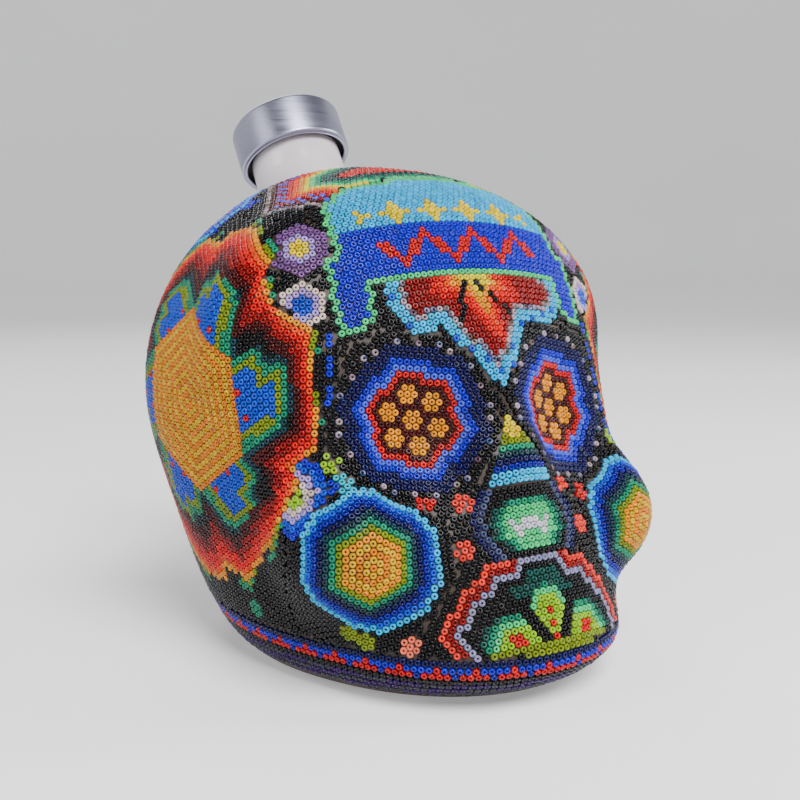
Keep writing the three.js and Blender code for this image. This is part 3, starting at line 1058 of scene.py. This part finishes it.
# ---- The beads: one mesh for every field or part of a field ----
BEAD_SIDES = 10
BEAD_PROFILE = np.array([(0.27, -0.38), (0.50, -0.64), (0.81, -0.50), (0.94, 0.0), (0.81, 0.50),
                         (0.50, 0.64), (0.27, 0.38)])
MOST_BEADS = 1400  # in one piece
LUSTRE_TINT = 0.45  # how bright the glass is under its lustre
_turn = np.arange(BEAD_SIDES) / BEAD_SIDES * 2 * math.pi
_r, _h = BEAD_PROFILE.T
BEAD = np.stack([_r[:, None] * np.cos(_turn), _r[:, None] * np.sin(_turn),
                 np.repeat(_h[:, None], BEAD_SIDES, 1)], -1).reshape(-1, 3)
BEAD_FACES = loop_faces(len(BEAD_PROFILE), BEAD_SIDES, True)[:, ::-1]


def bead_uvs(count):
    """A square of the map for each bead, so that a baked map keeps each bead's own colour."""
    across = math.ceil(math.sqrt(count))
    a, b = np.meshgrid(np.arange(len(BEAD_PROFILE)), np.arange(BEAD_SIDES), indexing="ij")
    corners = np.stack([np.stack([b, a], -1), np.stack([b, a + 1], -1), np.stack([b + 1, a + 1], -1),
                        np.stack([b + 1, a], -1)], -2).reshape(-1, 4, 2)[:, ::-1]
    local = 0.15 + 0.7 * corners / [BEAD_SIDES, len(BEAD_PROFILE)]
    cell = np.stack([np.arange(count) % across, np.arange(count) // across], -1)
    return (cell[:, None, None, :] + local[None]).reshape(-1, 2) / across


def bead_piece(name, node, at, facing, along, colour):
    count = len(at)
    lean = rng.normal(0, 0.09, (count, 2)).clip(-0.2, 0.2)
    side = np.cross(facing, along)
    up = facing + along * lean[:, :1] + side * lean[:, 1:]
    up /= np.linalg.norm(up, axis=1)[:, None]
    u = along - up * (along * up).sum(1)[:, None]
    u /= np.linalg.norm(u, axis=1)[:, None]
    v = np.cross(up, u)
    wide = rng.normal(1.0, 0.03, count).clip(0.93, 1.06)
    tall = rng.normal(1.0, 0.05, count).clip(0.88, 1.1)
    middle = at + facing * rng.uniform(-0.07, 0.05, count)[:, None]
    verts = (middle[:, None] + u[:, None] * (BEAD[:, 0] * wide[:, None])[..., None]
             + v[:, None] * (BEAD[:, 1] * wide[:, None])[..., None]
             + up[:, None] * (BEAD[:, 2] * tall[:, None])[..., None]).reshape(-1, 3) * MM
    faces = (BEAD_FACES[None] + (np.arange(count) * len(BEAD))[:, None, None]).reshape(-1, 4)
    mesh = mesh_of(name, verts, faces)
    lustre = np.array([c.startswith("glint") for c in colour])
    tint = np.stack([GLASS[c] for c in colour]) * np.where(lustre, LUSTRE_TINT, 1.0)[:, None]
    tint = tint * rng.normal(1.0, 0.09, (count, 1)).clip(0.75, 1.25)
    tint = tint * rng.normal(1.0, 0.03, (count, 3))
    tint = np.concatenate([tint.clip(0.0015, 1.0), np.ones((count, 1))], 1)
    layer = mesh.color_attributes.new("bead", "FLOAT_COLOR", "POINT")
    layer.data.foreach_set("color", np.repeat(tint, len(BEAD), 0).astype(np.float32).ravel())
    uv = mesh.uv_layers.new(name="OFBake")
    uv.data.foreach_set("uv", bead_uvs(count).astype(np.float32).ravel())
    piece(mesh, "bottle_body", GLASS_MATERIAL, (node,))
    if lustre.any():
        mesh.materials.append(LUSTRE)
        index = np.repeat(lustre, len(BEAD_FACES)).astype(np.int32)
        mesh.polygons.foreach_set("material_index", index)


def bead_fields():
    """All the beads, each on the CAD field that it stands for."""
    at, facing, along, colour = lay_all()
    along = along - facing * (along * facing).sum(1)[:, None]
    along /= np.linalg.norm(along, axis=1)[:, None]
    names = sorted(n for n in frame["nodes"] if n.startswith("beads_"))
    verts, faces, owner = [], [], []
    for k, n in enumerate(names):
        mesh = frame["nodes"][n].data
        shift = len(verts)
        verts += [tuple(v.co) for v in mesh.vertices]
        faces += [[shift + v for v in p.vertices] for p in mesh.polygons]
        owner += [k] * len(mesh.polygons)
    tree = BVHTree.FromPolygons(verts, faces)
    top = (at + facing * BEAD_LAYER / 2) * MM
    home = np.array([owner[tree.find_nearest(Vector(q))[2]] for q in top])
    for k, n in enumerate(names):
        own = np.flatnonzero(home == k)
        if len(own) == 0:
            raise RuntimeError(f"no beads on {n}")
        spread = at[own].max(0) - at[own].min(0)
        own = own[np.argsort(at[own][:, int(np.argmax(spread))], kind="stable")]
        parts = math.ceil(len(own) / MOST_BEADS)
        for part, some in enumerate(np.array_split(own, parts)):
            name = f"{n}_{part + 1}" if parts > 1 else f"{n}_seeds"
            shades = [colour[b] for b in some]
            bead_piece(name, n, at[some], facing[some], along[some], shades)


# ---- The wax between the beads ----
WAX_FRONT, WAX_BACK, WAX_EDGE = 0.95, 2.6, 1.0  # depths under the skull's surface
WAX_FOOT = 2.05  # its lowest edge, above the table


def wax_skin(columns=216, rows=150):
    """A closed skin from the neck down to the foot, pressed up between the beads."""
    phi = np.arange(columns) / columns * 2 * math.pi
    first = ring_round_neck(phi, COLLAR_HOLE, WAX_EDGE)
    first = (first - HEART) / np.linalg.norm(first - HEART, axis=1)[:, None]
    base = np.stack([np.cos(phi), np.sin(phi), 0 * phi], -1)
    start = np.array([0.0, 0.0, WAX_FOOT])
    foot = start + base * reach(base, WAX_EDGE, head, start)[:, None]
    last = (foot - HEART) / np.linalg.norm(foot - HEART, axis=1)[:, None]
    turn = np.arccos((first * last).sum(1))
    t = np.linspace(0, 1, rows)[:, None]
    w = [np.sin((1 - t) * turn) / np.sin(turn), np.sin(t * turn) / np.sin(turn)]
    way = w[0][..., None] * first + w[1][..., None] * last
    skins = [HEART + way * reach(way, depth, head)[..., None] for depth in (WAX_FRONT, WAX_BACK)]
    points = np.concatenate([skins[0], skins[1][::-1]])
    faces = loop_faces(2 * rows, columns, True)
    points = points.reshape(-1, 3)
    mesh = mesh_of("wax_between_beads", points * MM, outward(points, faces))
    piece(mesh, "bottle_body", WAX, ("wax_skin",))


def outward(points, faces):
    """The faces turned so that they enclose a positive volume."""
    a, b, c = points[faces[:, 0]], points[faces[:, 1]], points[faces[:, 2]]
    d = points[faces[:, 3]]
    volume = (a * np.cross(b, c)).sum() + (a * np.cross(c, d)).sum()
    return faces if volume > 0 else faces[:, ::-1]


# ---- Turned pieces on the neck's axis ----
def turned_piece(name, body, material, profile, replaces=(), around=128):
    """A closed ring or a solid of revolution; the profile is (radius, height above the cap's rim)."""
    profile = np.array(profile, float)
    phi = np.arange(around) / around * 2 * math.pi
    side = np.outer(np.cos(phi), NECK_SIDE) + np.outer(np.sin(phi), NECK_UP)
    points = RIM + profile[:, None, :1] * side + profile[:, None, 1:] * NECK_AXIS
    flat_points = points.reshape(-1, 3)
    closed = profile[0, 0] > 0.01
    faces = loop_faces(len(profile), around, closed)
    mesh = mesh_of(name, flat_points * MM, outward(flat_points, faces))
    if not closed:
        weld(mesh)
    piece(mesh, body, material, replaces)


def weld(mesh):
    """Joins the rings that have shrunk to a point on the axis."""
    shape = bmesh.new()
    shape.from_mesh(mesh)
    bmesh.ops.remove_doubles(shape, verts=shape.verts, dist=1e-6)
    shape.to_mesh(mesh)
    shape.free()
    mesh.update()


def eased(points, radius, steps=5):
    """A profile with its corners rounded, by at most the radius."""
    out = []
    for k, p in enumerate(points):
        p = np.array(p, float)
        before, after = np.array(points[k - 1], float), np.array(points[(k + 1) % len(points)], float)
        if p[0] < 0.02:
            out.append(p)
            continue
        a, b = before - p, after - p
        la, lb = np.linalg.norm(a), np.linalg.norm(b)
        cut = min(radius, la * 0.45, lb * 0.45)
        a, b = p + a / la * cut, p + b / lb * cut
        for t in np.linspace(0, 1, steps):
            out.append((1 - t) ** 2 * a + 2 * t * (1 - t) * p + t * t * b)
    return out


AXIS = 0.001  # a radius that weld() closes
CAP_RADIUS, CAP_HEIGHT, CAP_SHEET = 18.0, 14.8, 0.9
CORK_RADIUS, CORK_FOOT, CORK_TOP = 9.5, -15.0, 3.0
NECK_GLAZE = eased([(9.76, -12), (9.76, 2.2), (10.5, 3.03), (13.3, 3.03), (14.28, 2.2), (14.55, 1.2),
                    (14.55, -6.5), (14.82, -9.5), (15.42, -13), (16.3, -16), (17.05, -18.5),
                    (16.2, -18.9), (14.6, -12), (14.0, -6), (13.6, 1.4), (11.0, 2.2), (10.3, 1.0),
                    (10.2, -12)], 0.4)
CAP = eased([(CAP_RADIUS - 0.45, 0.35), (CAP_RADIUS, 1.0), (CAP_RADIUS, CAP_HEIGHT - 0.9),
             (CAP_RADIUS - 0.8, CAP_HEIGHT - 0.05), (CAP_RADIUS - 5, CAP_HEIGHT), (AXIS, CAP_HEIGHT)],
            0.5, 7)
CAP_INSIDE = eased([(CAP_RADIUS - CAP_SHEET, CAP_HEIGHT - CAP_SHEET), (CAP_RADIUS - CAP_SHEET, 2.2),
                    (16.1, 1.4), (16.1, 0.5), (16.7, 0.0)], 0.3)
CORK_SIDE = eased([(CORK_RADIUS - 1.2, CORK_FOOT), (CORK_RADIUS, CORK_FOOT + 1.2),
                   (CORK_RADIUS, CORK_TOP - 1.2), (CORK_RADIUS - 1.2, CORK_TOP)], 0.5)

bead_fields()
wax_skin()
turned_piece("neck_glaze", "bottle_body", CERAMIC_MATERIAL, NECK_GLAZE)
turned_piece("stopper_cap_turned", "stopper", METAL,
             [(AXIS, CAP_HEIGHT - CAP_SHEET)] + CAP_INSIDE + CAP, ("stopper_cap",), around=160)
turned_piece("stopper_cork_turned", "stopper", CORK,
             [(AXIS, CORK_FOOT)] + CORK_SIDE + [(AXIS, CORK_TOP)], ("stopper_cork",))
for node, material in (("bottle", CERAMIC_MATERIAL), ("stopper_core", INSERT)):
    for place in frame["nodes"][node].material_slots:
        place.material = material

# ==== The studio ====
def backdrop():
    """A pale floor that curves up all round, well away from the bottle."""
    radii = [0.0005, 0.4, 1.0, 1.6, 2.2, 2.7, 3.05, 3.25, 3.3]
    levels = [0, 0, 0, 0, 0.03, 0.22, 0.65, 1.4, 2.6]
    phi = np.arange(96) / 96 * 2 * math.pi
    points = np.stack([np.stack([r * np.cos(phi), r * np.sin(phi), z + 0 * phi], -1)
                       for r, z in zip(radii, levels)])
    mesh = mesh_of("backdrop", points.reshape(-1, 3), loop_faces(len(radii), len(phi), False)[:, ::-1])
    m, tree, shader = nodes_of("pale_paper", Roughness=0.9, Emission_Color=(1, 1, 1, 1),
                               Emission_Strength=0.22)
    tone = ramp(tree, noise(tree, 3, 2.0), 0.3, 0.7, 0.0, 1.0)
    tree.links.new(mix(tree, tone, (0.86, 0.86, 0.87, 1), (0.90, 0.90, 0.91, 1)), shader.inputs["Base Color"])
    mesh.materials.append(m)
    o = bpy.data.objects.new("backdrop", mesh)
    bpy.context.scene.collection.objects.link(o)


def softbox(name, at, towards, size, power):
    light = bpy.data.lights.new(name, "AREA")
    light.shape, light.size, light.energy = "DISK", size, power
    o = bpy.data.objects.new(name, light)
    o.location = at
    o.rotation_euler = (Vector(towards) - Vector(at)).to_track_quat("-Z", "Y").to_euler()
    bpy.context.scene.collection.objects.link(o)


WORLD_COLOUR, WORLD_STRENGTH = (0.93, 0.95, 1.0, 1), 0.16
LENS, SENSOR = 52.875, 36  # millimetres
CAMERA_AT, CAMERA_TURN = (-0.184945, -0.29126, 0.113), (82.7, 0, -33)  # metres, degrees

backdrop()
# name, place, what it points at, width in metres, power in watts
softbox("key", (-0.15, -0.85, 1.05), (0, 0, 0.07), 0.75, 32)
softbox("side", (0.95, -0.45, 0.55), (0, 0, 0.08), 0.5, 8)
softbox("left", (-0.95, 0.05, 0.6), (0, 0, 0.08), 0.6, 2.5)
softbox("back", (0.25, 1.0, 0.9), (0, 0, 0.08), 0.6, 4)
world = bpy.context.scene.world or bpy.data.worlds.new("studio")
bpy.context.scene.world = world
world.use_nodes = True
world.node_tree.nodes["Background"].inputs["Color"].default_value = WORLD_COLOUR
world.node_tree.nodes["Background"].inputs["Strength"].default_value = WORLD_STRENGTH

view = bpy.data.cameras.new("view")
view.lens, view.sensor_width = LENS, SENSOR
camera = bpy.data.objects.new("view", view)
camera.location = CAMERA_AT
camera.rotation_euler = Euler([math.radians(t) for t in CAMERA_TURN])
bpy.context.scene.collection.objects.link(camera)
bpy.context.scene.camera = camera

bpy.context.view_layer.update()
